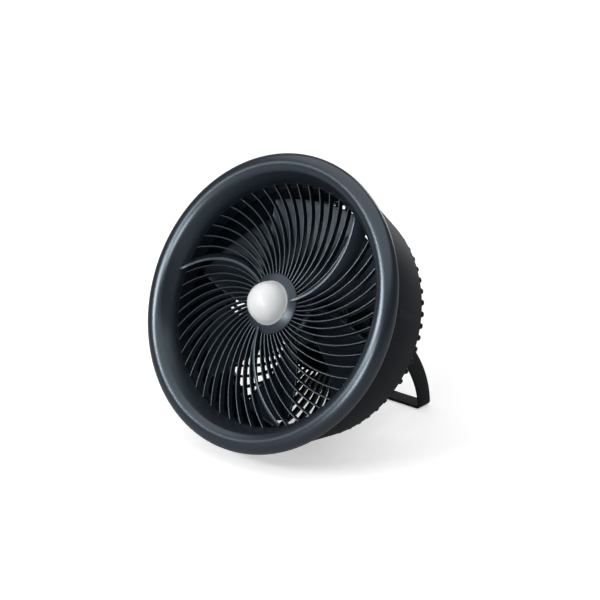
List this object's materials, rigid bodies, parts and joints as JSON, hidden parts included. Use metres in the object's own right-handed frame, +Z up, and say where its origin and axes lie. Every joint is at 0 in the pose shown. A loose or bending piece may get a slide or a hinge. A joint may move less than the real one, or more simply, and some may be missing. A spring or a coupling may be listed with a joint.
{
  "type": "air circulator fan",
  "caption": "Rechargeable air circulator: tilted drum with a rolled bell rim, swirl grilles, hub light dome, rear battery pod and a fold-out strap stand.",
  "frame": {"origin": "centre of the object's box on the surface that it stands on", "axes": "+Z up, the fan faces -Y and tilts back 25.6 degrees, +X to the right seen from the front"},
  "size_m": [0.2492, 0.2138, 0.2391],
  "materials": {
    "rim": "satin moulded plastic, slate grey",
    "shell": "fine satin moulded plastic, dark slate",
    "grille": "satin moulded plastic, slate grey",
    "dark_plastic": "matte moulded plastic, near black",
    "impeller": "satin moulded plastic",
    "dome": "frosted white light diffuser",
    "stand": "powder-coated steel strap, charcoal",
    "steel": "plated steel",
    "alloy": "cast alloy",
    "magnet": "sintered magnet, dark",
    "windings": "enamelled copper windings on steel laminations",
    "board": "green solder mask",
    "cell": "plastic-sleeved round cell",
    "lens": "clear light pipe",
    "rubber": "soft-touch rubber"
  },
  "bodies": {
    "housing": {"bell_ring": "rim", "outer_shell": "shell", "rim_screw_1": "steel", "rim_screw_2": "steel", "rim_screw_3": "steel", "front_grille": "grille", "light_dome": "dome", "led_board": "board", "led_holder": "alloy", "hub_cap": "dark_plastic", "motor_stator": "windings", "motor_mount": "alloy", "bearing_front": "steel", "bearing_rear": "steel", "motor_screw_1": "steel", "motor_screw_2": "steel", "motor_screw_3": "steel", "rear_grille": "dark_plastic", "pod_cover": "shell", "pod_screw_1": "steel", "pod_screw_2": "steel", "pod_screw_3": "steel", "pod_screw_4": "steel", "battery_cell_1": "cell", "battery_cell_2": "cell", "battery_tray": "dark_plastic", "control_board": "board", "switch_1": "dark_plastic", "switch_2": "dark_plastic", "indicator_lens": "lens", "charge_board": "board", "charge_socket": "steel", "pivot_pin_right": "steel", "pivot_pin_left": "steel", "friction_washer_right": "rubber", "friction_washer_left": "rubber"},
    "fan_rotor": {"impeller": "impeller", "impeller_nut": "steel", "motor_shaft": "steel", "rotor_cup": "steel", "magnet_ring": "magnet"},
    "stand": {"stand_bail": "stand"},
    "speed_key": {"speed_button": "rubber"},
    "light_key": {"light_button": "rubber"}
  },
  "joints": [
    {"name": "impeller_spin", "type": "hinge", "parent": "housing", "child": "fan_rotor", "pos_m": [0, -0.04748, 0.1253], "axis": [0, -0.9018, 0.4321], "continuous": true},
    {"name": "stand_fold", "type": "hinge", "parent": "housing", "child": "stand", "pos_m": [0, 0.04208, 0.09237], "axis": [1, 0, 0], "range_deg": [-58, 95]},
    {"name": "speed_press", "type": "slide", "parent": "housing", "child": "speed_key", "axis": [0, -0.9018, 0.4321], "range_m": [0, 0.0008], "stiffness_N_per_m": 1500, "springref_m": -0.0006},
    {"name": "light_press", "type": "slide", "parent": "housing", "child": "light_key", "axis": [0, -0.9018, 0.4321], "range_m": [0, 0.0008], "stiffness_N_per_m": 1500, "springref_m": -0.0006}
  ]
}
